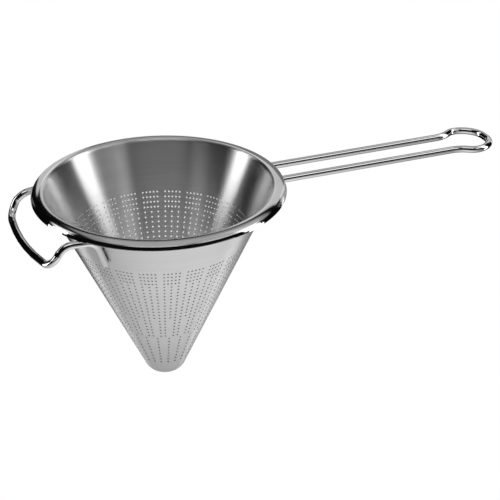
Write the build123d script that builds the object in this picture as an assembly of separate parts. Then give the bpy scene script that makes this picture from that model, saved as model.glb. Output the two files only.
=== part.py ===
from build123d import *

import os
from math import asin, atan2, cos, degrees, pi, radians, sin, sqrt, tan

# Conical strainer in stainless steel: a perforated sheet cone, a rolled pouring rim, a long
# handle and a pot hook, each bent from one round rod and welded to the outside of the cone.
# Millimetres and degrees. The origin is the centre of the mouth, level with the top of the
# rim; +Z is up, the handle runs along +X and the hook is on the -X side.

# Sheet cone
SHEET = 0.8
CONE_HALF_ANGLE = 25.0
MOUTH_RADIUS = 88.1  # inside of the wall, carried on up to the level of the rim's top
TIP_CORNER_RADIUS = 12.0
TIP_CORNER_OFFSET = 5.1  # of the corner's centre from the axis
TIP_CROWN_RADIUS = 40.0
SEAM_SLOPE = 2.8  # from the mouth down along the wall to the seam between cone and rim

# Perforation: rows of near-square holes in like sectors, with plain strips between these
SECTORS = 24
HOLE_WIDTH = 1.33  # both ways
CUT_OVERRUN = 0.4  # of each hole's cutter past both faces of the wall
FIRST_ROW_SLOPE = 43.2  # from the mouth down along the wall
ROW_PITCH = 4.055
LAST_ROW_MARGIN = 8.0  # at least, from the last row to the foot of the straight wall
STRIP_SHARE = 0.35  # of a sector, between the outer columns of two neighbours
# A row keeps its five, three or two columns for as long as they are this far apart.
FIVE_COLUMN_PITCH = 2.73
THREE_COLUMN_PITCH = 3.85
TWO_COLUMN_PITCH = 6.0

# Rolled rim, sizes of its visible upper side. Its arcs touch each other, and each turn is the
# angle at which an arc ends, measured from level.
RIM_BEND_RADIUS = 2.9
RIM_TOP_RADIUS = 17.1
RIM_TOP_TURN = 23.6
RIM_CORNER_RADIUS = 1.0
RIM_CORNER_TURN = 58.0
RIM_SKIRT_RADIUS = 9.7
RIM_SKIRT_TURN = 77.0

# Rods of the handle and the hook
ROD_DIAMETER = 5.7
ROD_END_ROUNDING = 1.2
ROD_TO_WALL_GAP = 0.2
LEG_FOOT_DEPTH = 33.0

# Long handle: two straight runs side by side, closed by a wider hanging eye
RIM_TO_HANDLE_GAP = 1.8
HANDLE_SPACING = 26.4
HANDLE_DROOP = 2.0  # degrees below level
HANDLE_REACH = 292.3  # from the mouth's axis to the middle of the rod at the eye's end
HANDLE_LEG_BEND = 10.0
EYE_WIDTH = 39.4
EYE_NECK_LENGTH = 32.7
EYE_SHOULDER_LENGTH = 21.8
EYE_SIDE_END_LENGTH = 11.4
EYE_END_WIDTH = 19.2
EYE_NECK_BEND = 25.0
EYE_SHOULDER_BEND = 11.0
EYE_SIDE_BEND = 18.0
EYE_END_BEND = 15.6

# Pot hook: its two arms run level under the rim and turn down outside it
RIM_TO_HOOK_GAP = 0.1
HOOK_LEG_ANGLE = 36.15  # of each leg, round the axis from the hook's middle
HOOK_LEG_BEND = 9.5
HOOK_SHOULDER_WIDTH = 97.6  # between the corners where the two arms turn down
HOOK_SHOULDER_INSET = 2.4  # of these corners from the rim's edge, measured along X
HOOK_SHOULDER_BEND = 13.5
HOOK_CORNER_WIDTH = 102.9  # between the loop's two bottom corners
HOOK_CORNER_OUTSET = 6.6
HOOK_CORNER_DROP = 15.6  # below the level of the arms
HOOK_CORNER_BEND = 13.0
HOOK_BAR_OUTSET = 14.8  # of the bar's middle, bowed out from the corners
HOOK_BAR_DROP = 18.1
HOOK_BAR_BEND = 210.0

# Weld seam between a rod's leg and the wall
WELD_WIDTH = 4.0
WELD_LENGTH = 15.0
WELD_FOOT_MARGIN = 3.0
WELD_BITE = 1.0  # how far its blank reaches into rod and wall before they are cut out of it

# Directions across and along the wall, as radius and height
ACROSS = (cos(radians(CONE_HALF_ANGLE)), -sin(radians(CONE_HALF_ANGLE)))
ALONG = (-sin(radians(CONE_HALF_ANGLE)), -cos(radians(CONE_HALF_ANGLE)))
SLOPE = tan(radians(CONE_HALF_ANGLE))

# Rim sizes that follow from its arcs: the turns as angles of the section plane, the arcs' centres
CREST_RADIUS = MOUTH_RADIUS + RIM_BEND_RADIUS / ACROSS[0] - RIM_BEND_RADIUS * SLOPE
TOP_END = radians(90 - RIM_TOP_TURN)
CORNER_END = radians(90 - RIM_CORNER_TURN)
SKIRT_END = radians(90 - RIM_SKIRT_TURN)
CORNER_CENTRE = (
    CREST_RADIUS + (RIM_TOP_RADIUS - RIM_CORNER_RADIUS) * cos(TOP_END),
    (RIM_TOP_RADIUS - RIM_CORNER_RADIUS) * sin(TOP_END) - RIM_TOP_RADIUS,
)
SKIRT_CENTRE = (
    CORNER_CENTRE[0] - (RIM_SKIRT_RADIUS - RIM_CORNER_RADIUS) * cos(CORNER_END),
    CORNER_CENTRE[1] - (RIM_SKIRT_RADIUS - RIM_CORNER_RADIUS) * sin(CORNER_END),
)
RIM_RADIUS = SKIRT_CENTRE[0] + RIM_SKIRT_RADIUS * cos(SKIRT_END)
LIP_LEVEL = SKIRT_CENTRE[1] + (RIM_SKIRT_RADIUS - SHEET) * sin(SKIRT_END)
HANDLE_LEVEL = LIP_LEVEL - RIM_TO_HANDLE_GAP - ROD_DIAMETER / 2
HOOK_LEVEL = LIP_LEVEL - RIM_TO_HOOK_GAP - ROD_DIAMETER / 2


def wall_radius(height, outward):
    """Radius of a cone parallel to the wall's inside, a distance outward of it."""
    return MOUTH_RADIUS + height * SLOPE + outward / ACROSS[0]


def polar(centre, radius, angle):
    """Point of the section plane at an angle above +X round a centre."""
    return (centre[0] + radius * cos(angle), centre[1] + radius * sin(angle))


def turned(edges, turn=360):
    """Solid of revolution round the mouth's axis from the edges of a closed section."""
    return revolve(make_face([Plane.XZ * edge for edge in edges]), Axis.Z, turn)


def arc(centre, radius, start, end):
    """Arc of the section plane, from one angle to another through their middle."""
    middle = polar(centre, radius, (start + end) / 2)
    return ThreePointArc(polar(centre, radius, start), middle, polar(centre, radius, end))


def wall_point(slope, outward):
    """Point of the section, a distance down along the wall and outward of its inside."""
    return (
        MOUTH_RADIUS + ALONG[0] * slope + ACROSS[0] * outward,
        ALONG[1] * slope + ACROSS[1] * outward,
    )


def tip_centres():
    """Centres of the tip's crown and of the corner that joins it smoothly to the wall."""
    height = (TIP_CORNER_OFFSET - wall_radius(0, SHEET - TIP_CORNER_RADIUS)) / SLOPE
    span = TIP_CROWN_RADIUS - TIP_CORNER_RADIUS
    return (0, height + sqrt(span**2 - TIP_CORNER_OFFSET**2)), (TIP_CORNER_OFFSET, height)


def cone_side(depth):
    """Wall, corner and crown of the cone at a depth below its outer side."""
    crown, corner = tip_centres()
    wall_turn = -radians(CONE_HALF_ANGLE)
    crown_turn = atan2(corner[1] - crown[1], corner[0])
    foot = polar(corner, TIP_CORNER_RADIUS - depth, wall_turn)
    return [
        Line(wall_point(SEAM_SLOPE, SHEET - depth), foot),
        arc(corner, TIP_CORNER_RADIUS - depth, wall_turn, crown_turn),
        arc(crown, TIP_CROWN_RADIUS - depth, crown_turn, -radians(90)),
    ]


def row_columns(slope):
    """Columns, numbered 0 to 4 across a sector, that have a hole in the row at a slope."""
    width = 2 * pi / SECTORS * (1 - STRIP_SHARE) * wall_point(slope, 0)[0]
    if width / 4 >= FIVE_COLUMN_PITCH:
        return (0, 1, 2, 3, 4)
    if width / 2 >= THREE_COLUMN_PITCH:
        return (0, 2, 4)
    if width >= TWO_COLUMN_PITCH:
        return (0, 4)
    return (2,)


def row_slopes():
    """Distances from the mouth down along the wall at which the rows of holes lie."""
    foot = (cone_side(SHEET)[0] @ 1).Y / ALONG[1]
    rows = int((foot - LAST_ROW_MARGIN - FIRST_ROW_SLOPE) / ROW_PITCH) + 1
    return [FIRST_ROW_SLOPE + row * ROW_PITCH for row in range(rows)]


def sector_holes():
    """Cutters for one sector's holes: each is a short turn of a square across the wall."""
    sector = 360 / SECTORS
    strip = sector * STRIP_SHARE
    cutters = []
    for slope in row_slopes():
        top = slope - HOLE_WIDTH / 2
        foot = slope + HOLE_WIDTH / 2
        corners = [
            wall_point(top, -CUT_OVERRUN),
            wall_point(foot, -CUT_OVERRUN),
            wall_point(foot, SHEET + CUT_OVERRUN),
            wall_point(top, SHEET + CUT_OVERRUN),
        ]
        width = degrees(HOLE_WIDTH / wall_point(slope, SHEET / 2)[0])
        section = make_face(Plane.XZ * Polyline(*corners, close=True))
        cutter = revolve(section, Axis.Z, width)
        for column in row_columns(slope):
            place = strip / 2 + column * (sector - strip) / 4
            cutters.append(cutter.rotate(Axis.Z, place - width / 2))
    return cutters


def plain_cone(turn=360):
    """Cone drawn from one sheet and closed by a blunt tip, or a sector of it, unpierced."""
    outer = cone_side(0)
    inner = cone_side(SHEET)
    top = Line(outer[0] @ 0, inner[0] @ 0)
    axis = Line(outer[-1] @ 1, inner[-1] @ 1)
    return turned([*outer, *inner, top, axis], turn)


def sieve_cone():
    """The cone with its holes, cut in one sector that is then repeated round the axis."""
    sector = plain_cone(360 / SECTORS).cut(*sector_holes())
    # All faces but the two radial ones, which are the largest flat ones, close up all round.
    flat = sector.faces().filter_by(GeomType.PLANE).sort_by(SortBy.AREA)
    skin = sector.faces().filter_by(GeomType.PLANE, reverse=True) + flat[:-2]
    places = [360 / SECTORS * (turn - 1 / 2) for turn in range(SECTORS)]
    return Solid(Shell([face.rotate(Axis.Z, place) for place in places for face in skin]))


def rim_side(depth):
    """Upper side of the rim, from the seam over the crest to the lip, at a depth below it."""
    bend = (CREST_RADIUS, -RIM_BEND_RADIUS)
    top = (CREST_RADIUS, -RIM_TOP_RADIUS)
    wall_turn = radians(180 - CONE_HALF_ANGLE)
    level = radians(90)
    arcs = [
        arc(bend, RIM_BEND_RADIUS - depth, wall_turn, level),
        arc(top, RIM_TOP_RADIUS - depth, level, TOP_END),
        arc(CORNER_CENTRE, RIM_CORNER_RADIUS - depth, TOP_END, CORNER_END),
        arc(SKIRT_CENTRE, RIM_SKIRT_RADIUS - depth, CORNER_END, SKIRT_END),
    ]
    return [Line(wall_point(SEAM_SLOPE, depth), arcs[0] @ 0), *arcs]


def rim_ring():
    """Pouring rim: the sheet bends over the crest and is turned down to a skirt with an open lip."""
    upper = rim_side(0)
    under = rim_side(SHEET)
    seam = Line(upper[0] @ 0, under[0] @ 0)
    lip = Line(upper[-1] @ 1, under[-1] @ 1)
    return turned([*upper, *under, seam, lip])


def mirrored(points):
    """Points of one half of a rod, then their images across the XZ plane in reverse."""
    return points + [(x, -y, z) for x, y, z in reversed(points)]


def bent_rod(points, bends):
    """Round rod along straight runs joined by tangent bends, its cut ends rounded over."""
    path = FilletPolyline(*points, radius=bends)
    section = Plane(path @ 0, z_dir=path % 0) * Circle(ROD_DIAMETER / 2)
    rod = sweep(section, path=path)
    ends = [rod.faces().sort_by_distance(path @ t)[0].edges() for t in (0, 1)]
    return fillet([edge for end in ends for edge in end], ROD_END_ROUNDING)


def leg_radius(height):
    """Distance of a leg's middle line from the axis where the rod lies along the wall."""
    return wall_radius(height, SHEET + ROD_TO_WALL_GAP + ROD_DIAMETER / 2)


def handle_height(x):
    """Level of the handle's middle line, which droops from where it clears the rim."""
    return HANDLE_LEVEL - (x - RIM_RADIUS) * tan(radians(HANDLE_DROOP))


def handle_leg_angle():
    """Angle of a handle leg round the axis, so that its top lines up with the straight run."""
    return degrees(asin(HANDLE_SPACING / 2 / leg_radius(HANDLE_LEVEL)))


def leg_point(angle, height):
    """Point of a leg's middle line on the cone's outside, at an angle round the axis."""
    radius = leg_radius(height)
    return (radius * cos(radians(angle)), radius * sin(radians(angle)), height)


def long_handle():
    """Hairpin handle: leg, straight run, hanging eye, and back again."""
    angle = handle_leg_angle()
    leg_top = leg_point(angle, HANDLE_LEVEL)
    plan = [
        (HANDLE_REACH - EYE_NECK_LENGTH, HANDLE_SPACING / 2),
        (HANDLE_REACH - EYE_SHOULDER_LENGTH, EYE_WIDTH / 2),
        (HANDLE_REACH - EYE_SIDE_END_LENGTH, EYE_WIDTH / 2),
        (HANDLE_REACH, EYE_END_WIDTH / 2),
    ]
    run = [(x, y, handle_height(x)) for x, y in plan]
    top = (leg_top[0], leg_top[1], handle_height(leg_top[0]))
    half = [leg_point(angle, -LEG_FOOT_DEPTH), top, *run]
    bends = [HANDLE_LEG_BEND, EYE_NECK_BEND, EYE_SHOULDER_BEND, EYE_SIDE_BEND, EYE_END_BEND]
    return bent_rod(mirrored(half), bends + bends[::-1])


def rest_hook():
    """Pot hook: leg, arm under the rim, turned-down side, bowed bar, and back again."""
    angle = 180 - HOOK_LEG_ANGLE
    half = [
        leg_point(angle, -LEG_FOOT_DEPTH),
        leg_point(angle, HOOK_LEVEL),
        (HOOK_SHOULDER_INSET - RIM_RADIUS, HOOK_SHOULDER_WIDTH / 2, HOOK_LEVEL),
        (-RIM_RADIUS - HOOK_CORNER_OUTSET, HOOK_CORNER_WIDTH / 2, HOOK_LEVEL - HOOK_CORNER_DROP),
    ]
    bar = (-RIM_RADIUS - HOOK_BAR_OUTSET, 0, HOOK_LEVEL - HOOK_BAR_DROP)
    points = mirrored(half)
    points.insert(len(half), bar)
    bends = [HOOK_LEG_BEND, HOOK_SHOULDER_BEND, HOOK_CORNER_BEND]
    return bent_rod(points, bends + [HOOK_BAR_BEND] + bends[::-1])


def weld_seam(angle, wall, rod):
    """Weld metal between a leg and the wall, shaped by cutting both out of a rounded bar."""
    height = -LEG_FOOT_DEPTH + WELD_FOOT_MARGIN + WELD_LENGTH / 2 * -ALONG[1]
    across = (ACROSS[0] * cos(radians(angle)), ACROSS[0] * sin(radians(angle)), ACROSS[1])
    along = (ALONG[0] * cos(radians(angle)), ALONG[0] * sin(radians(angle)), ALONG[1])
    base = Plane(leg_point(angle, height), x_dir=along, z_dir=across)
    depth = ROD_DIAMETER / 2 + ROD_TO_WALL_GAP + WELD_BITE
    blank = extrude(base * SlotOverall(WELD_LENGTH, WELD_WIDTH), -depth)
    return (blank - wall - rod).solids().sort_by(SortBy.VOLUME)[-1]


cone = sieve_cone()
wall = plain_cone()
handle = long_handle()
hook = rest_hook()
pieces = {
    "sieve_cone": cone,
    "rim_ring": rim_ring(),
    "long_handle": handle,
    "rest_hook": hook,
    "handle_weld_left": weld_seam(handle_leg_angle(), wall, handle),
    "handle_weld_right": weld_seam(-handle_leg_angle(), wall, handle),
    "hook_weld_left": weld_seam(180 - HOOK_LEG_ANGLE, wall, hook),
    "hook_weld_right": weld_seam(HOOK_LEG_ANGLE - 180, wall, hook),
}

os.makedirs("parts", exist_ok=True)
for name, piece in pieces.items():
    export_step(piece, f"parts/{name}.step", write_pcurves=piece is not cone)
    print(name, "volume", round(piece.volume, 1), "mm3")

print("crest radius", round(CREST_RADIUS, 2), "rim radius", round(RIM_RADIUS, 2))
print("lip level", round(LIP_LEVEL, 2), "handle level", round(HANDLE_LEVEL, 2))
print("hook level", round(HOOK_LEVEL, 2), "holes", len(sector_holes()) * SECTORS)
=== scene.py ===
import bpy
import numpy as np
from mathutils import Matrix


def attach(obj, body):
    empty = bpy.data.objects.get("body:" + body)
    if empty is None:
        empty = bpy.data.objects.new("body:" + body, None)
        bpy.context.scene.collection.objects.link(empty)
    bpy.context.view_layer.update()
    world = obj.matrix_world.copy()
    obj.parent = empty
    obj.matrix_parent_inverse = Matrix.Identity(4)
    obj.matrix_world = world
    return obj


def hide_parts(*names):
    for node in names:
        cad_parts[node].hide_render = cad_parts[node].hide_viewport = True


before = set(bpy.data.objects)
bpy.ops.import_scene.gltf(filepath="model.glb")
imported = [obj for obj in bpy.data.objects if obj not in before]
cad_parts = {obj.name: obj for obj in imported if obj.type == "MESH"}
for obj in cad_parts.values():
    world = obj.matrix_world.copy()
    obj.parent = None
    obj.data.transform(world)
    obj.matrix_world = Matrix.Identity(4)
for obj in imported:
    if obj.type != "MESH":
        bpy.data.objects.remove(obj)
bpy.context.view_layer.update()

# Pierced cone
# One stainless sheet drawn to a cone with a blunt closed tip and punched with fine round holes
# in like sectors. Satin steel, brushed round the axis; its top edge is butted to the rim.
SHEET = 0.0008
HALF_ANGLE = np.radians(25.0)
MOUTH_RADIUS = 0.0881  # inside of the wall, carried on up to the level of the rim's top
SEAM_SLOPE = 0.0028  # from the mouth down along the wall to the seam with the rim
TOP_BANDS = 4  # of faces, from the seam down to the first row of holes
TIP_CORNER_RADIUS = 0.012
TIP_CORNER_OFFSET = 0.0051  # of the corner's centre from the axis
TIP_CORNER_POINTS = 12
TIP_CROWN_RADIUS = 0.040
TIP_CROWN_POINTS = 7
SECTORS = 24
COLUMNS = 5
STRIP_SHARE = 0.35  # of a sector, between the outer columns of two neighbours
FIRST_ROW_SLOPE = 0.0432
ROW_PITCH = 0.004055
HOLE_RADIUS = 0.00075
HOLE_POINTS = 12
# The columns of a sector that have a hole, row by row: all five, then three, two and one.
HOLE_COLUMNS = [(0, 1, 2, 3, 4)] * 4 + [(0, 2, 4)] * 11 + [(0, 4)] * 6 + [(2,)] * 9
ROWS = len(HOLE_COLUMNS)
# Unit vectors of radius and height: out through the wall, and down along it.
ACROSS = np.array([np.cos(HALF_ANGLE), -np.sin(HALF_ANGLE)])
ALONG = np.array([-np.sin(HALF_ANGLE), -np.cos(HALF_ANGLE)])


def wall_points(slopes, outward):
    """Radius and height on the wall: mouth + slope * (down the wall) + outward * (across it)."""
    slopes = np.asarray(slopes, float)[..., None]
    return np.array([MOUTH_RADIUS, 0.0]) + slopes * ALONG + outward * ACROSS


def arc_points(centre, radius, start, end, count):
    """Centre + radius * (cos, sin) of evenly spaced angles, with the outward unit normals."""
    angles = np.linspace(start, end, count)
    normals = np.stack([np.cos(angles), np.sin(angles)], axis=-1)
    return np.asarray(centre) + radius * normals, normals


def turn_round(points, angles):
    """Every (radius, height) carried round the axis to its angle: (r cos a, r sin a, z)."""
    r, z = points[..., 0], points[..., 1]
    return np.stack([r * np.cos(angles), r * np.sin(angles), z + 0.0 * angles], axis=-1)


def surface_piece(name, points, groups, normals):
    """Mesh from points, groups of equal-sided faces and the normal at every face corner."""
    mesh = bpy.data.meshes.new(name)
    faces = [face for group in groups for face in group.tolist()]
    mesh.from_pydata(points.tolist(), [], faces)
    mesh.polygons.foreach_set("use_smooth", [True] * len(mesh.polygons))
    corners = np.concatenate([group.reshape(-1, 3) for group in normals])
    corners = corners / np.linalg.norm(corners, axis=1, keepdims=True)
    mesh.normals_split_custom_set(corners.tolist())
    piece = bpy.data.objects.new(name, mesh)
    bpy.context.scene.collection.objects.link(piece)
    return piece


def cone_profile(depth):
    """One side of the sheet from the seam to the tip: straight wall, corner arc, crown arc. Gives
    its points, their normals and how many of them lie above the rows of holes."""
    reach = MOUTH_RADIUS + (SHEET - TIP_CORNER_RADIUS) / np.cos(HALF_ANGLE)
    corner_height = (TIP_CORNER_OFFSET - reach) / np.tan(HALF_ANGLE)
    corner_centre = (TIP_CORNER_OFFSET, corner_height)
    corner_radius = TIP_CORNER_RADIUS - depth
    span = TIP_CROWN_RADIUS - TIP_CORNER_RADIUS
    crown_height = corner_height + np.sqrt(span**2 - TIP_CORNER_OFFSET**2)
    crown_turn = np.arctan2(corner_height - crown_height, TIP_CORNER_OFFSET)
    crown_centre = (0.0, crown_height)
    crown_radius = TIP_CROWN_RADIUS - depth
    corner, corner_normals = arc_points(
        corner_centre, corner_radius, -HALF_ANGLE, crown_turn, TIP_CORNER_POINTS
    )
    crown, crown_normals = arc_points(
        crown_centre, crown_radius, crown_turn, -np.pi / 2, TIP_CROWN_POINTS
    )
    rows = FIRST_ROW_SLOPE + ROW_PITCH * (np.arange(ROWS + 1) - 0.5)
    plain = np.linspace(SEAM_SLOPE, rows[0], TOP_BANDS + 1)[:-1]
    wall = wall_points(np.r_[plain, rows], SHEET - depth)
    points = np.concatenate([wall, corner, crown[1:]])
    wall_normals = np.tile(ACROSS, (len(wall), 1))
    normals = np.concatenate([wall_normals, corner_normals, crown_normals[1:]])
    return points, normals, len(plain)


def pierced_cone():
    """Closed sheet on a lattice of angle and profile point, r(a, s), z(s). A cell with a hole is
    four six-sided faces round a ring of points, and a tube of faces joins the two sides' rings."""
    sector = 2 * np.pi / SECTORS
    column = sector * (1 - STRIP_SHARE) / (COLUMNS - 1)
    first = sector * STRIP_SHARE / 2 - sector / 2 - column / 2
    starts = np.arange(SECTORS)[:, None] * sector + first
    angles = (starts + np.arange(COLUMNS + 1) * column).reshape(-1)
    turns = len(angles)
    outer, outer_normals, top_rows = cone_profile(0.0)
    inner, inner_normals, _ = cone_profile(SHEET)
    levels = len(outer) - 1
    lattice = [turn_round(side[:-1, None], angles) for side in (outer, inner)]
    poles = np.array([[0.0, 0.0, outer[-1, 1]], [0.0, 0.0, inner[-1, 1]]])
    slants = [turn_round(side[:-1, None], angles) for side in (outer_normals, -inner_normals)]
    pole_slants = np.array([[0.0, 0.0, -1.0], [0.0, 0.0, 1.0]])

    # Which cells have a hole, and the ring of points round each hole on both sides
    holed = np.zeros((levels - 1, turns), bool)
    for row, columns in enumerate(HOLE_COLUMNS):
        for place in columns:
            holed[top_rows + row, place :: COLUMNS + 1] = True
    level, turn = np.nonzero(holed)
    slope = FIRST_ROW_SLOPE + ROW_PITCH * (level - top_rows)
    middle = angles[turn] + column / 2
    round_ring = 2 * np.pi * (np.arange(HOLE_POINTS) + 0.5) / HOLE_POINTS
    ring_slope = slope[:, None] - HOLE_RADIUS * np.sin(round_ring)
    ring_radius = wall_points(slope, SHEET / 2)[:, :1]
    ring_angle = middle[:, None] + HOLE_RADIUS * np.cos(round_ring) / ring_radius
    rings = [turn_round(wall_points(ring_slope, outward), ring_angle) for outward in (SHEET, 0.0)]
    ring_slants = [turn_round(sign * ACROSS, ring_angle) for sign in (1.0, -1.0)]
    points = np.concatenate([part.reshape(-1, 3) for part in (*lattice, poles, *rings)])
    slants = np.concatenate([part.reshape(-1, 3) for part in (*slants, pole_slants, *ring_slants)])

    # Where the poles and the rings stand in that list, and where a lattice point does
    pole_out = 2 * levels * turns
    pole_in = pole_out + 1
    holes = len(level)
    ring_out = pole_in + 1 + np.arange(holes * HOLE_POINTS).reshape(holes, HOLE_POINTS)
    ring_in = ring_out + holes * HOLE_POINTS

    def corner(side, at_level, at_turn):
        return side * levels * turns + at_level * turns + at_turn % turns

    def cell_corners(side, at_level, at_turn):
        """Upper left, lower left, lower right and upper right corner, as seen from outside."""
        steps = ((0, 0), (1, 0), (1, 1), (0, 1))
        return [corner(side, at_level + down, at_turn + on) for down, on in steps]

    # Plain cells, and the cells round the holes: each of their edges is joined to the nearest
    # quarter of the ring. The inside's faces run the other way round.
    faces = []
    plain_cells = np.nonzero(~holed)
    quarter = HOLE_POINTS // 4
    for side, ring in enumerate((ring_out, ring_in)):
        way = 1 - 2 * side
        faces.append(np.stack(cell_corners(side, *plain_cells)[::way], axis=-1))
        corners = cell_corners(side, level, turn)
        for place in range(4):
            last = (place + 2) * quarter - quarter // 2 - 1
            near = [ring[:, (last - step) % HOLE_POINTS] for step in range(quarter + 1)]
            face = np.stack([corners[place - 1], corners[place], *near], axis=-1)
            faces.append(face[:, ::way])
    normals = [slants[face] for face in faces]

    # Walls of the holes, the top edge and the two fans that close the tip
    after = np.roll(np.arange(HOLE_POINTS), -1)
    tube = np.stack([ring_out, ring_out[:, after], ring_in[:, after], ring_in], axis=-1)
    hole_middle = points[ring_out].mean(axis=1, keepdims=True)
    inward = hole_middle - points[ring_out]
    tube_normals = np.stack([inward, inward[:, after], inward[:, after], inward], axis=2)
    walls = len(faces)
    faces.append(tube.reshape(-1, 4))
    normals.append(tube_normals.reshape(-1, 4, 3))
    t = np.arange(turns)
    edge = [corner(0, 0, t), corner(0, 0, t + 1), corner(1, 0, t + 1), corner(1, 0, t)]
    faces.append(np.stack(edge, axis=-1))
    up = turn_round(-ALONG, angles)
    up_after = np.roll(up, -1, axis=0)
    normals.append(np.stack([up, up_after, up_after, up], axis=1))
    foot = levels - 1
    below = [corner(0, foot, t), np.full(turns, pole_out), corner(0, foot, t + 1)]
    above = [corner(1, foot, t), corner(1, foot, t + 1), np.full(turns, pole_in)]
    for fan in (np.stack(below, axis=-1), np.stack(above, axis=-1)):
        faces.append(fan)
        normals.append(slants[fan])
    piece = surface_piece("pierced_cone", points, faces, normals)
    counts = [len(face) for face in faces]
    sheared_and_shaded = np.repeat(np.arange(len(faces)) == walls, counts).astype(np.float32)
    piece.data.attributes.new("hole_wall", "FLOAT", "FACE").data.foreach_set("value", sheared_and_shaded)
    return piece


# Steel brushed round the axis: fine lines, blended with coarser bands
FINE_LINES = ((8.0, 8.0, 1000.0), 3.2)  # how far the place is stretched, and the noise's scale
COARSE_LINES = ((6.0, 6.0, 90.0), 1.6)
LINE_DETAIL = 3.0
FINE_TONES = (0.79, 0.88)
COARSE_TONES = (0.80, 0.88)
COARSE_SHARE = 0.35
SATIN = (0.285, 0.325)  # roughness
LINE_DEPTH = 0.00002
LINE_STRENGTH = 0.01
# The walls of the holes: their dark tone is painted shade, their roughness that of sheared steel.
HOLE_WALL_SHADE_TONE = 0.42
HOLE_WALL_ROUGHNESS = 0.35


def feed(tree, sockets, values):
    """Give every socket its value: another node's output is linked, a number or vector is set."""
    for socket, value in zip(sockets, values):
        if isinstance(value, bpy.types.NodeSocket):
            tree.links.new(value, socket)
        else:
            socket.default_value = value


def fill(tree, node, **inputs):
    """Feed the named inputs of a node."""
    feed(tree, [node.inputs[name.replace("_", " ")] for name in inputs], inputs.values())
    return node


def new_node(tree, kind, **inputs):
    """New node of a kind with its named inputs fed."""
    return fill(tree, tree.nodes.new("ShaderNode" + kind), **inputs)


def vector(tree, operation, *values):
    """A vector made of others, or with LENGTH or DOT_PRODUCT a number."""
    node = tree.nodes.new("ShaderNodeVectorMath")
    node.operation = operation
    feed(tree, node.inputs, values)
    return node.outputs["Value" if operation in ("LENGTH", "DOT_PRODUCT") else "Vector"]


def spread(tree, value, low, high, start=0.3, end=0.7):
    """The value carried from start..end to low..high, smoothly, and held at both ends."""
    limits = {"From_Min": start, "From_Max": end, "To_Min": low, "To_Max": high}
    node = new_node(tree, "MapRange", Value=value, **limits)
    node.interpolation_type = "SMOOTHSTEP"
    return node.outputs["Result"]


def blended(tree, share, first, second):
    """first + share * (second - first), for sockets or numbers."""
    node = tree.nodes.new("ShaderNodeMix")
    feed(tree, [node.inputs[slot] for slot in (0, 2, 3)], (share, first, second))
    return node.outputs[0]


def own_place(tree):
    """The place on the piece in the object's own axes."""
    return new_node(tree, "TexCoord").outputs["Object"]


def noise(tree, place, scale, detail):
    """Cloudy noise from 0 to 1 whose spots are about 1 / scale apart."""
    return new_node(tree, "TexNoise", Vector=place, Scale=scale, Detail=detail).outputs[0]


def bare_steel(name):
    """New steel with nothing over it: the material, its tree and the shader of its surface."""
    steel = bpy.data.materials.new(name)
    steel.use_nodes = True
    tree = steel.node_tree
    return steel, tree, fill(tree, tree.nodes["Principled BSDF"], Metallic=1.0)


def turned_finish(tree, shader):
    """Brushing round the axis: its direction at p is z x p, and its lines are a noise of height
    and, far less, of the place along the line. Gives a fine and a coarse noise."""
    place = own_place(tree)
    around = vector(tree, "CROSS_PRODUCT", (0.0, 0.0, 1.0), place)
    fill(tree, shader, Tangent=around, Anisotropic=1.0, Anisotropic_Rotation=0.25)
    noises = []
    for stretch, scale in (FINE_LINES, COARSE_LINES):
        lines = new_node(tree, "Mapping", Vector=place, Scale=stretch).outputs[0]
        noises.append(noise(tree, lines, scale, LINE_DETAIL))
    return noises


cone = pierced_cone()
cone_steel, tree, shader = bare_steel("brushed_cone_steel")
fine, coarse = turned_finish(tree, shader)
# The walls of the holes were sheared by the punch and are rougher; their dark tone is painted shade
# inside the holes.
hole_wall = new_node(tree, "Attribute")
hole_wall.attribute_name = "hole_wall"
sheared_and_shaded = hole_wall.outputs["Fac"]
fine_tone = spread(tree, fine, *FINE_TONES)
tone = blended(tree, COARSE_SHARE, fine_tone, spread(tree, coarse, *COARSE_TONES))
tone = blended(tree, sheared_and_shaded, tone, HOLE_WALL_SHADE_TONE)
roughness = blended(tree, sheared_and_shaded, spread(tree, fine, *SATIN), HOLE_WALL_ROUGHNESS)
bump = new_node(tree, "Bump", Height=fine, Strength=LINE_STRENGTH, Distance=LINE_DEPTH).outputs[0]
fill(tree, shader, Base_Color=tone, Roughness=roughness, Normal=bump)
cone.data.materials.append(cone_steel)
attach(cone, "root")
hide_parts("sieve_cone")

# Rolled rim
# The sheet's bright polished edge: it bends over the crest, falls outwards in a wide curve
# and is rolled down to an open lip. It is butted to the cone on a fine seam.
RIM_BEND_RADIUS = 0.0029
RIM_TOP_RADIUS = 0.0171
RIM_CORNER_RADIUS = 0.0010
RIM_SKIRT_RADIUS = 0.0097
# How far each arc has turned down at its end, measured from level
RIM_TOP_TURN = np.radians(23.6)
RIM_CORNER_TURN = np.radians(58.0)
RIM_SKIRT_TURN = np.radians(77.0)
RIM_BEND_POINTS = 14
RIM_TOP_POINTS = 12
RIM_CORNER_POINTS = 10
RIM_SKIRT_POINTS = 7
RIM_TURNS = 288
CREST_RADIUS = MOUTH_RADIUS + RIM_BEND_RADIUS / ACROSS[0] - RIM_BEND_RADIUS * np.tan(HALF_ANGLE)
POLISH_START = CREST_RADIUS - 0.0010
POLISH_FULL = CREST_RADIUS - 0.0002
POLISHED_TONES = (0.70, 0.75)
POLISHED_ROUGHNESS = (0.045, 0.085)
INNER_TONES = (0.79, 0.87)


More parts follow.
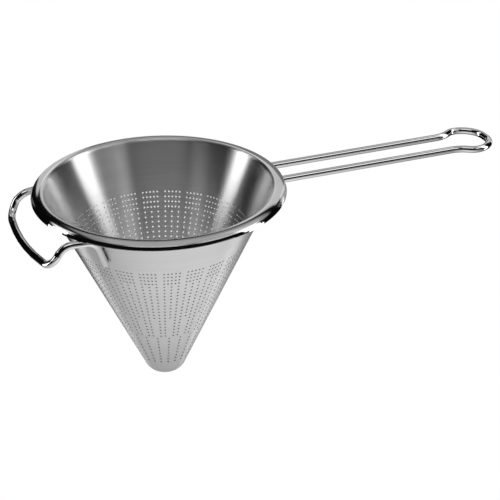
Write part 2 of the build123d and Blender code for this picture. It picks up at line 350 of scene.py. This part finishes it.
def rim_profile(depth):
    """One side of the rim's sheet: bend, wide top curve, tight corner and skirt, each an arc of
    centre + r(cos, sin) that touches the next."""
    level = np.pi / 2
    turns = level - np.array([0.0, RIM_TOP_TURN, RIM_CORNER_TURN, RIM_SKIRT_TURN])
    bend = (CREST_RADIUS, -RIM_BEND_RADIUS)
    top = np.array([CREST_RADIUS, -RIM_TOP_RADIUS])
    inset = RIM_TOP_RADIUS - RIM_CORNER_RADIUS
    corner = top + inset * np.array([np.cos(turns[1]), np.sin(turns[1])])
    inset = RIM_CORNER_RADIUS - RIM_SKIRT_RADIUS
    skirt = corner + inset * np.array([np.cos(turns[2]), np.sin(turns[2])])
    bends = (
        (bend, RIM_BEND_RADIUS, np.pi - HALF_ANGLE, level, RIM_BEND_POINTS),
        (top, RIM_TOP_RADIUS, turns[0], turns[1], RIM_TOP_POINTS),
        (corner, RIM_CORNER_RADIUS, turns[1], turns[2], RIM_CORNER_POINTS),
        (skirt, RIM_SKIRT_RADIUS, turns[2], turns[3], RIM_SKIRT_POINTS),
    )
    parts = [arc_points(centre, radius - depth, *span) for centre, radius, *span in bends]
    seam = wall_points(SEAM_SLOPE, depth)
    points = np.concatenate([[seam], *(part[0] for part in parts)])
    normals = np.concatenate([[-ACROSS], *(part[1] for part in parts)])
    return points, normals


def rolled_rim():
    """Closed ring: the outer profile, the lip, the under side back and the seam, all turned round."""
    angles = 2 * np.pi * np.arange(RIM_TURNS) / RIM_TURNS
    upper, upper_normals = rim_profile(0.0)
    under, under_normals = rim_profile(SHEET)
    count = len(upper)
    loop = np.concatenate([upper, under[::-1]])
    # Each band of the profile keeps the normals of its own side; lip and seam are flat bands.
    starts = np.arange(2 * count)
    ends = (starts + 1) % (2 * count)
    lean = np.concatenate([upper_normals, -under_normals[::-1]])
    start_lean = lean[starts]
    end_lean = lean[ends]
    for band in (count - 1, 2 * count - 1):
        run = loop[ends[band]] - loop[band]
        start_lean[band] = end_lean[band] = (-run[1], run[0])
    points = turn_round(loop[:, None], angles)
    index = np.arange(2 * count * RIM_TURNS).reshape(2 * count, RIM_TURNS)
    after = np.roll(index, -1, axis=1)
    quads = np.stack([index[starts], index[ends], after[ends], after[starts]], axis=-1)
    near = turn_round(start_lean[:, None], angles)
    far = turn_round(end_lean[:, None], angles)
    normals = np.stack([near, far, np.roll(far, -1, axis=1), np.roll(near, -1, axis=1)], axis=2)
    return surface_piece(
        "rolled_rim", points.reshape(-1, 3), [quads.reshape(-1, 4)], [normals.reshape(-1, 4, 3)]
    )


def from_axis(tree, place):
    """Distance of a place from the axis: the length of (x, y, 0)."""
    return vector(tree, "LENGTH", vector(tree, "MULTIPLY", place, (1.0, 1.0, 0.0)))


rim = rolled_rim()
rim_steel, tree, shader = bare_steel("polished_rim_steel")
fine = turned_finish(tree, shader)[0]
place = own_place(tree)
# Inside the crest it is still brushed like the cone; the polish starts on the bend.
polished = spread(tree, from_axis(tree, place), 0.0, 1.0, POLISH_START, POLISH_FULL)
patches = noise(tree, place, scale=38.0, detail=4.0)
bright = spread(tree, patches, *POLISHED_TONES)
tone = blended(tree, polished, spread(tree, fine, *INNER_TONES), bright)
rubbed = spread(tree, patches, *POLISHED_ROUGHNESS)
rubbed = blended(tree, 0.5, spread(tree, fine, *POLISHED_ROUGHNESS), rubbed)
roughness = blended(tree, polished, spread(tree, fine, *SATIN), rubbed)
fill(tree, shader, Base_Color=tone, Roughness=roughness)
rim.data.materials.append(rim_steel)
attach(rim, "root")
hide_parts("rim_ring")

# Long handle
# One polished round rod of stainless steel bent to a hairpin: leg on the cone, straight run,
# hanging eye and back. Both legs lie on the outside of the cone and are welded to it.
ROD_RADIUS = 0.00285
ROD_SIDES = 32
ROD_END_ROUNDING = 0.0012
ROD_END_POINTS = 6
BEND_STEP = np.radians(3.0)
FEWEST_BEND_POINTS = 4
ROD_TO_WALL_GAP = 0.0002
LEG_FOOT_DEPTH = 0.033
# The rim's widest place, and the level of the inside of its lip
RIM_RADIUS = rim_profile(0.0)[0][-1, 0]
LIP_LEVEL = rim_profile(SHEET)[0][-1, 1]
RIM_TO_HANDLE_GAP = 0.0018
HANDLE_LEVEL = LIP_LEVEL - RIM_TO_HANDLE_GAP - ROD_RADIUS
HANDLE_DROOP = np.radians(2.0)
HANDLE_SPACING = 0.0264
HANDLE_REACH = 0.2923  # from the mouth's axis to the middle of the rod at the eye's end
HANDLE_LEG_BEND = 0.010
# Lengths of the eye are measured back from its end.
EYE_WIDTH = 0.0394
EYE_END_WIDTH = 0.0192
EYE_NECK_LENGTH = 0.0327
EYE_SHOULDER_LENGTH = 0.0218
EYE_SIDE_END_LENGTH = 0.0114
EYE_NECK_BEND = 0.025
EYE_SHOULDER_BEND = 0.011
EYE_SIDE_BEND = 0.018
EYE_END_BEND = 0.0156


def swung(arrow, axis, t):
    """An arrow v swung about an axis k by angles t: v cos t + (k x v) sin t + k (k.v)(1 - cos t)."""
    flat = arrow * np.cos(t) + np.cross(axis, arrow) * np.sin(t)
    return flat + axis * (axis @ arrow) * (1 - np.cos(t))


def bent_run(corners, bends):
    """Path of straight runs and tangent arcs. In a bend the direction and a side vector swing
    about the corner's own axis: p = centre + swung(start - centre), with t from 0 to the turn."""
    corners = np.asarray(corners, float)
    runs = np.diff(corners, axis=0)
    runs /= np.linalg.norm(runs, axis=1, keepdims=True)
    side = np.cross(runs[0], [0.0, 0.0, 1.0])
    side /= np.linalg.norm(side)
    places, heads, sides = [corners[:1]], [runs[:1]], [side[None]]
    for corner, into, out, radius in zip(corners[1:-1], runs[:-1], runs[1:], bends):
        axis = np.cross(into, out)
        turn = np.arctan2(np.linalg.norm(axis), into @ out)
        axis /= np.linalg.norm(axis)
        start = corner - into * radius * np.tan(turn / 2)
        centre = start + np.cross(axis, into) * radius
        t = np.linspace(0.0, turn, max(FEWEST_BEND_POINTS, int(turn / BEND_STEP)))[:, None]
        places.append(centre + swung(start - centre, axis, t))
        heads.append(swung(into, axis, t))
        sides.append(swung(sides[-1][-1], axis, t))
    places.append(corners[-1:])
    heads.append(runs[-1:])
    sides.append(sides[-1][-1:])
    return np.concatenate(places), np.concatenate(heads), np.concatenate(sides)


def round_rod(name, corners, bends):
    """Tube: p + r(cos u * side + sin u * (head x side)) on the path, its two cut ends closed by
    a quarter-round edge and a flat cap."""
    places, heads, sides = bent_run(corners, bends)
    between = len(places) - 2
    t = np.linspace(0.0, np.pi / 2, ROD_END_POINTS)[:, None]
    back = ROD_END_ROUNDING * (1 - np.sin(t))
    start = places[0] + heads[0] * back
    end = places[-1] - heads[-1] * back
    places = np.concatenate([start[::-1], places[1:-1], end])
    repeats = [ROD_END_POINTS, *[1] * between, ROD_END_POINTS]
    heads = np.repeat(heads, repeats, axis=0)
    sides = np.repeat(sides, repeats, axis=0)
    shrink = ROD_RADIUS - ROD_END_ROUNDING + ROD_END_ROUNDING * np.cos(t)
    full = np.full((between, 1), ROD_RADIUS)
    radius = np.concatenate([shrink[::-1], full, shrink])[:, None]
    lean = np.concatenate([-t[::-1], np.zeros((between, 1)), t])[:, None]
    u = 2 * np.pi * np.arange(ROD_SIDES)[None, :, None] / ROD_SIDES
    out = np.cos(u) * sides[:, None] + np.sin(u) * np.cross(heads, sides)[:, None]
    points = places[:, None] + radius * out
    slant = (np.cos(lean) * out + np.sin(lean) * heads[:, None]).reshape(-1, 3)
    rings = len(places)
    index = np.arange(rings * ROD_SIDES).reshape(rings, ROD_SIDES)
    after = np.roll(index, -1, axis=1)
    quads = np.stack([index[:-1], after[:-1], after[1:], index[1:]], axis=-1).reshape(-1, 4)
    caps = np.arange(2) + rings * ROD_SIDES
    first = np.stack([after[0], index[0], np.full(ROD_SIDES, caps[0])], axis=-1)
    last = np.stack([index[-1], after[-1], np.full(ROD_SIDES, caps[1])], axis=-1)
    vertices = np.concatenate([points.reshape(-1, 3), places[[0, -1]]])
    cap_normals = [np.broadcast_to(way, (ROD_SIDES, 3, 3)) for way in (-heads[0], heads[-1])]
    return surface_piece(name, vertices, [quads, first, last], [slant[quads], *cap_normals])


def leg_point(angle, height):
    """Middle of a rod that lies on the outside of the wall, at an angle round the axis."""
    offset = (SHEET + ROD_TO_WALL_GAP + ROD_RADIUS) / ACROSS[0]
    radius = MOUTH_RADIUS + height * np.tan(HALF_ANGLE) + offset
    return np.array([radius * np.cos(angle), radius * np.sin(angle), height])


def mirrored(half):
    """The half run of corners, then its mirror image in y, back to the other leg."""
    half = np.asarray(half, float)
    return np.concatenate([half, half[::-1] * (1, -1, 1)])


def handle_corner(x, y):
    """Corner of the handle's run: its level falls from the rim's edge by the droop."""
    return (x, y, HANDLE_LEVEL - (x - RIM_RADIUS) * np.tan(HANDLE_DROOP))


handle_leg = np.arcsin(HANDLE_SPACING / 2 / np.hypot(*leg_point(0.0, HANDLE_LEVEL)[:2]))
handle_half = [
    leg_point(handle_leg, -LEG_FOOT_DEPTH),
    handle_corner(*leg_point(handle_leg, HANDLE_LEVEL)[:2]),
    handle_corner(HANDLE_REACH - EYE_NECK_LENGTH, HANDLE_SPACING / 2),
    handle_corner(HANDLE_REACH - EYE_SHOULDER_LENGTH, EYE_WIDTH / 2),
    handle_corner(HANDLE_REACH - EYE_SIDE_END_LENGTH, EYE_WIDTH / 2),
    handle_corner(HANDLE_REACH, EYE_END_WIDTH / 2),
]
handle_bends = [HANDLE_LEG_BEND, EYE_NECK_BEND, EYE_SHOULDER_BEND, EYE_SIDE_BEND, EYE_END_BEND]
handle = round_rod("hairpin_handle", mirrored(handle_half), handle_bends + handle_bends[::-1])

# The rod's steel is drawn along the handle and polished. Its legs are rougher and darker, up to where
# they bend away from the cone.
DRAWN_STRETCH = (20.0, 1500.0, 1500.0)
ROD_TONES = (0.76, 0.82)
ROD_ROUGHNESS = (0.03, 0.07)
LEG_TONES = (0.60, 0.66)
LEG_ROUGHNESS = (0.30, 0.38)
LEG_REACH = (0.087, 0.093)  # from the axis: dull up to the first, polished from the second
rod_steel, tree, shader = bare_steel("polished_rod_steel")
place = own_place(tree)
drawn = new_node(tree, "Mapping", Vector=place, Scale=DRAWN_STRETCH).outputs[0]
drawn = noise(tree, drawn, scale=1.0, detail=2.0)
rubbed = noise(tree, place, scale=60.0, detail=4.0)
legs = spread(tree, from_axis(tree, place), 1.0, 0.0, *LEG_REACH)
tone = spread(tree, rubbed, *ROD_TONES)
tone = blended(tree, legs, tone, spread(tree, rubbed, *LEG_TONES))
roughness = spread(tree, drawn, *ROD_ROUGHNESS)
roughness = blended(tree, 0.5, roughness, spread(tree, rubbed, *ROD_ROUGHNESS))
roughness = blended(tree, legs, roughness, spread(tree, rubbed, *LEG_ROUGHNESS))
bump = new_node(tree, "Bump", Height=rubbed, Strength=0.02, Distance=0.0002).outputs[0]
fill(tree, shader, Base_Color=tone, Roughness=roughness, Normal=bump)
handle.data.materials.append(rod_steel)
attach(handle, "root")
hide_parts("long_handle")

# Pot hook
# A second length of the same rod: two legs on the cone, arms level under the rim, and a loop
# that turns down outside it and closes with a bowed bar.
RIM_TO_HOOK_GAP = 0.0001
HOOK_LEVEL = LIP_LEVEL - RIM_TO_HOOK_GAP - ROD_RADIUS
HOOK_LEG_ANGLE = np.pi - np.radians(36.15)
HOOK_LEG_BEND = 0.0095
# Insets and outsets are measured from the rim's edge, drops from the level of the arms.
HOOK_SHOULDER_WIDTH = 0.0976
HOOK_SHOULDER_INSET = 0.0024
HOOK_SHOULDER_BEND = 0.0135
HOOK_CORNER_WIDTH = 0.1029
HOOK_CORNER_OUTSET = 0.0066
HOOK_CORNER_DROP = 0.0156
HOOK_CORNER_BEND = 0.013
HOOK_BAR_OUTSET = 0.0148
HOOK_BAR_DROP = 0.0181
HOOK_BAR_BEND = 0.210
hook_half = [
    leg_point(HOOK_LEG_ANGLE, -LEG_FOOT_DEPTH),
    leg_point(HOOK_LEG_ANGLE, HOOK_LEVEL),
    (HOOK_SHOULDER_INSET - RIM_RADIUS, HOOK_SHOULDER_WIDTH / 2, HOOK_LEVEL),
    (-RIM_RADIUS - HOOK_CORNER_OUTSET, HOOK_CORNER_WIDTH / 2, HOOK_LEVEL - HOOK_CORNER_DROP),
]
hook_bar = (-RIM_RADIUS - HOOK_BAR_OUTSET, 0.0, HOOK_LEVEL - HOOK_BAR_DROP)
hook_corners = np.insert(mirrored(hook_half), len(hook_half), hook_bar, axis=0)
hook_bends = [HOOK_LEG_BEND, HOOK_SHOULDER_BEND, HOOK_CORNER_BEND]
hook = round_rod("pot_hook", hook_corners, [*hook_bends, HOOK_BAR_BEND, *hook_bends[::-1]])
hook.data.materials.append(rod_steel)
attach(hook, "root")
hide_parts("rest_hook")

# Weld seams
# Fused metal in the gap between each leg and the cone, left dull and slightly uneven, with ripples
# 0.8 mm apart. Its near-black tints, uneven in patches, are painted shade of that gap.
WELD_SHADE_TINTS = ((0.13, 0.13, 0.13, 1.0), (0.06, 0.058, 0.055, 1.0))
WELD_ROUGHNESS = (0.32, 0.52)
weld_steel, tree, shader = bare_steel("dull_weld_steel")
place = own_place(tree)
ripples = noise(tree, place, scale=1200.0, detail=3.0)
patches = noise(tree, place, scale=260.0, detail=4.0)
tint = tree.nodes.new("ShaderNodeMix")
tint.data_type = "RGBA"
# The weld's tint is painted shade of the gap between leg and cone, darker in patches.
darker_shade_patches = spread(tree, patches, 0.0, 1.0)
feed(tree, [tint.inputs[slot] for slot in (0, 6, 7)], (darker_shade_patches, *WELD_SHADE_TINTS))
roughness = spread(tree, ripples, *WELD_ROUGHNESS)
bump = new_node(tree, "Bump", Height=ripples, Strength=0.5, Distance=0.0001).outputs[0]
fill(tree, shader, Base_Color=tint.outputs[2], Roughness=roughness, Normal=bump)
for name in ("handle_weld_left", "handle_weld_right", "hook_weld_left", "hook_weld_right"):
    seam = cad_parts[name]
    seam.data.materials.clear()
    seam.data.materials.append(weld_steel)

# Studio
# A pale floor that the tip stands on, and soft surroundings: brightest at the two sides, with
# smaller lights behind the object and less light from the camera's side.
PICTURE_TURN = np.radians(21.0)  # from the Y axis to the line that leads away from the camera
WHITE = (1.0, 1.0, 1.0, 1.0)
FLOOR_LEVEL = -0.1645  # half a millimetre under the tip
FLOOR_SIZE = (4.0, 2.0)
FLOOR_OFFSET = 0.65  # of its middle, away from the camera
FLOOR_TONE = (0.8, 0.8, 0.8, 1.0)
bpy.ops.mesh.primitive_plane_add(size=1.0)
floor = bpy.context.object
floor.name = "floor"
floor.data.transform(
    Matrix.Translation((0.0, 0.0, FLOOR_LEVEL))
    @ Matrix.Rotation(-PICTURE_TURN, 4, "Z")
    @ Matrix.Translation((0.0, FLOOR_OFFSET, 0.0))
    @ Matrix.Diagonal((*FLOOR_SIZE, 1.0, 1.0))
)

# What metal sees of the floor is a painted oval of light in front of the object that fades round it,
# with a painted contact shadow that makes it duller close to the tip.
GLOW_CENTRE = (0.040, -0.190)
GLOW_HALF_AXES = (0.40, 0.30)
GLOW_LEVELS = (0.94, 0.25)
GLOW_FALL = (0.2, 1.25)  # where the level starts and ends to fall, in half axes
GLOW_EDGE = (1.0, 1.35)  # where the floor starts to clear and is clear, in half axes
# The painted contact shadow round the tip: its level right under the tip, and how far it reaches.
TIP_SHADOW_LEVEL = 0.64  # of the light right under the tip, which is full again at the reach
TIP_SHADOW_REACH = 0.12
# What the picture sees is white, but for a painted soft shadow of the cone. It falls away from the
# camera and widens from the tip to an oval under the mouth.
SHADOW_DEPTH = 0.34
SHADOW_CENTRE = (0.102, 0.267)
SHADOW_HALF_AXES = (0.118, 0.100)
SHADOW_FALL = (0.45, 1.0)  # where it starts and ends to fade, in half axes
WEDGE_HALF_WIDTH = 0.012  # at the tip
WEDGE_GROWTH = 0.33  # of that half width with the distance from the tip
WEDGE_FALL = (0.45, 1.05)  # where it starts and ends to fade, in half widths
WEDGE_START = (-0.006, 0.030)  # the wedge sets in between these distances behind the tip
WEDGE_END = (0.20, 0.32)  # and fades out between these


def number(tree, operation, *values):
    """A number made of others, such as their sum or product."""
    node = tree.nodes.new("ShaderNodeMath")
    node.operation = operation
    feed(tree, node.inputs, values)
    return node.outputs[0]


def mixed(tree, share, first, second):
    """Surface that turns from the first to the second as the share goes from 0 to 1."""
    node = tree.nodes.new("ShaderNodeMixShader")
    feed(tree, node.inputs, (share, first, second))
    return node.outputs[0]


def picture_axes(tree, place):
    """The place turned about z, so that y leads straight away from the camera."""
    turn = (0.0, 0.0, PICTURE_TURN)
    return new_node(tree, "Mapping", Vector=place, Rotation=turn).outputs[0]


def oval(tree, place, centre, half_axes):
    """Distance from a centre in half axes a, b of an oval: the length of (x / a, y / b, 0), with
    x and y in the picture's axes."""
    offset = picture_axes(tree, vector(tree, "SUBTRACT", place, (*centre, 0.0)))
    scale = (1 / half_axes[0], 1 / half_axes[1], 0.0)
    return vector(tree, "LENGTH", vector(tree, "MULTIPLY", offset, scale))


floor_paint = bpy.data.materials.new("pale_floor")
floor_paint.use_nodes = True
tree = floor_paint.node_tree
matt = fill(tree, tree.nodes["Principled BSDF"], Base_Color=FLOOR_TONE, Roughness=0.9)
place = own_place(tree)
glow_place = oval(tree, place, GLOW_CENTRE, GLOW_HALF_AXES)
lit = spread(tree, glow_place, *GLOW_LEVELS, *GLOW_FALL)
# Painted contact shadow: the floor's light is dimmer close to the tip.
tip_painted_shadow = spread(tree, from_axis(tree, place), TIP_SHADOW_LEVEL, 1.0, 0.0, TIP_SHADOW_REACH)
lit = number(tree, "MULTIPLY", lit, tip_painted_shadow)
# The painted shadow: an oval under the mouth, joined to the tip by a wedge.
shadow_place = oval(tree, place, SHADOW_CENTRE, SHADOW_HALF_AXES)
wide_end = spread(tree, shadow_place, 1.0, 0.0, *SHADOW_FALL)
from_tip = new_node(tree, "SeparateXYZ", Vector=picture_axes(tree, place)).outputs
aside = number(tree, "ABSOLUTE", from_tip["X"])
away = from_tip["Y"]
half_width = number(tree, "MULTIPLY", away, WEDGE_GROWTH)
half_width = number(tree, "ADD", half_width, WEDGE_HALF_WIDTH)
wedge = spread(tree, number(tree, "DIVIDE", aside, half_width), 1.0, 0.0, *WEDGE_FALL)
wedge = number(tree, "MULTIPLY", wedge, spread(tree, away, 0.0, 1.0, *WEDGE_START))
wedge = number(tree, "MULTIPLY", wedge, spread(tree, away, 1.0, 0.0, *WEDGE_END))
cast = number(tree, "MAXIMUM", wide_end, wedge)
shadow = number(tree, "SUBTRACT", 1.0, number(tree, "MULTIPLY", cast, SHADOW_DEPTH))
rays = new_node(tree, "LightPath").outputs
in_picture = rays["Is Camera Ray"]
glow = new_node(tree, "Emission", Strength=blended(tree, in_picture, lit, shadow))
# Metal sees no floor beyond the oval. Seen from below, the floor is clear, so that the object
# shows.
reach = spread(tree, glow_place, 1.0, 0.0, *GLOW_EDGE)
below = new_node(tree, "NewGeometry").outputs["Backfacing"]
shown = blended(tree, in_picture, reach, number(tree, "SUBTRACT", 1.0, below))
clear = new_node(tree, "BsdfTransparent")
shine = mixed(tree, shown, clear.outputs[0], glow.outputs[0])
seen = number(tree, "MAXIMUM", in_picture, rays["Is Glossy Ray"])
surface = mixed(tree, seen, matt.outputs[0], shine)
fill(tree, tree.nodes["Material Output"], Surface=surface)
floor.data.materials.append(floor_paint)

# The surroundings: the picture sees plain white, the metal bands of light on a dark ground.
DARK_GROUND = 0.003
world = bpy.data.worlds.new("studio")
bpy.context.scene.world = world
world.use_nodes = True
sky_tree = world.node_tree
direction = new_node(sky_tree, "TexCoord").outputs["Generated"]


def sky(azimuth, elevation):
    """Unit vector (sin a cos e, cos a cos e, sin e) of a place in the surroundings: azimuth 0 is
    behind the object as the picture sees it and 90 to its right. The picture's turn is added."""
    a = np.radians(azimuth) + PICTURE_TURN
    e = np.radians(elevation)
    return np.array([np.sin(a) * np.cos(e), np.cos(a) * np.cos(e), np.sin(e)])


def light_band(start, end, half_width, level, softness=2.0):
    """A straight band of light from one place in the surroundings to another. On the plane that
    touches its middle m, the ray d is at (d.u / d.m, d.v / d.m), with u along the band and v
    across it, and the light falls to nothing where either is past its limit."""
    start = sky(*start)
    end = sky(*end)
    apart = np.linalg.norm(end - start)
    together = np.linalg.norm(end + start)
    middle = (start + end) / together
    lengthwise = (end - start) / apart
    crosswise = np.cross(middle, lengthwise)
    blur = np.tan(np.radians(softness))
    depth = vector(sky_tree, "DOT_PRODUCT", direction, middle)
    front = number(sky_tree, "GREATER_THAN", depth, 0.0)
    light = number(sky_tree, "MULTIPLY", front, level)
    limits = (apart / together, np.tan(np.radians(half_width)))
    for axis, limit in zip((lengthwise, crosswise), limits):
        offset = vector(sky_tree, "DOT_PRODUCT", direction, axis)
        offset = number(sky_tree, "ABSOLUTE", number(sky_tree, "DIVIDE", offset, depth))
        within = spread(sky_tree, offset, 1.0, 0.0, limit - blur / 2, limit + blur / 2)
        light = number(sky_tree, "MULTIPLY", light, within)
    return light


# Each band goes from one (azimuth, elevation) to another; then come its half width in degrees,
# its level and how soft its edges are in degrees.
bands = [
    # Tall bright panels at the left: above the floor, below it, and a top that leans back
    light_band((-84.9, 4.0), (-82.9, 34.0), 8.7, 2.7),
    light_band((-79.0, -38.0), (-79.5, 1.5), 9.0, 2.7),
    light_band((-78.0, 33.0), (-32.0, 45.0), 5.5, 1.2, 4.0),
    # The same at the right
    light_band((94.5, 4.0), (94.0, 38.0), 9.75, 2.5),
    light_band((90.5, -44.0), (90.5, 1.5), 9.5, 2.5),
    light_band((88.0, 38.0), (38.0, 51.0), 6.0, 1.25),
    # Smaller lights behind the object, from left to right
    light_band((-36.0, 4.0), (-34.0, 18.0), 4.0, 0.3, 4.0),
    light_band((-11.0, -16.0), (-11.0, 24.5), 5.0, 0.62),
    light_band((-1.5, 18.5), (-1.5, 29.0), 5.5, 0.62),
    light_band((14.0, 18.0), (14.0, 33.0), 9.5, 0.65, 2.5),
    light_band((33.0, 8.0), (33.0, 28.0), 9.5, 0.50, 3.0),
    light_band((44.5, -18.0), (44.5, 12.0), 3.5, 1.20, 3.0),
    # Fainter and wider light behind it, low down
    light_band((10.0, -24.0), (10.0, 18.0), 16.0, 0.20, 3.0),
    light_band((33.0, -24.0), (33.0, 6.0), 8.0, 0.38, 4.0),
    # High up: behind, at the right towards the camera, over the camera, and behind once more
    light_band((-24.0, 58.0), (52.0, 60.0), 16.0, 0.15, 4.0),
    light_band((114.0, 39.0), (114.0, 53.0), 20.0, 1.25, 8.0),
    light_band((-130.0, 66.0), (150.0, 62.0), 9.0, 1.20, 10.0),
    light_band((18.0, 46.0), (42.0, 50.0), 6.0, 0.20, 5.0),
    # A low band round the camera's side
    light_band((-115.0, -4.0), (115.0, -4.0), 9.0, 0.40, 3.0),
]
# The panel overhead ends behind the object on a level edge.
OVERHEAD_EDGE = np.sin(np.radians(38.5))
OVERHEAD_BLUR = 0.03
overhead = light_band((-40.0, 60.0), (84.0, 38.0), 42.0, 0.30, 6.0)
height = vector(sky_tree, "DOT_PRODUCT", direction, (0.0, 0.0, 1.0))
edge = (OVERHEAD_EDGE - OVERHEAD_BLUR, OVERHEAD_EDGE + OVERHEAD_BLUR)
total = number(sky_tree, "MULTIPLY", overhead, spread(sky_tree, height, 0.0, 1.0, *edge))
for band in bands:
    total = number(sky_tree, "ADD", total, band)
total = number(sky_tree, "ADD", total, DARK_GROUND)
surround = fill(sky_tree, sky_tree.nodes["Background"], Color=WHITE, Strength=total)
backdrop = new_node(sky_tree, "Background", Color=WHITE)
in_picture = new_node(sky_tree, "LightPath").outputs["Is Camera Ray"]
surface = mixed(sky_tree, in_picture, surround.outputs[0], backdrop.outputs[0])
fill(sky_tree, sky_tree.nodes["World Output"], Surface=surface)

# Camera
# The place and direction found from the photograph's perspective; a long lens of 125 mm.
CAMERA_PLACE = (-0.431466, -1.124007, 0.583450)
CAMERA_HEADING = -24.3139
CAMERA_PITCH = 28.0490
CAMERA_ROLL = -0.6151
camera_data = bpy.data.cameras.new("camera")
camera_data.sensor_width = 36.0
camera_data.lens = 125.009
camera_data.clip_start = 0.05
camera_data.clip_end = 20.0
camera = bpy.data.objects.new("camera", camera_data)
bpy.context.scene.collection.objects.link(camera)
camera.matrix_world = (
    Matrix.Translation(CAMERA_PLACE)
    @ Matrix.Rotation(np.radians(CAMERA_HEADING), 4, "Z")
    @ Matrix.Rotation(np.radians(90.0 - CAMERA_PITCH), 4, "X")
    @ Matrix.Rotation(np.radians(CAMERA_ROLL), 4, "Z")
)
bpy.context.scene.camera = camera
bpy.context.scene.view_settings.view_transform = "Standard"
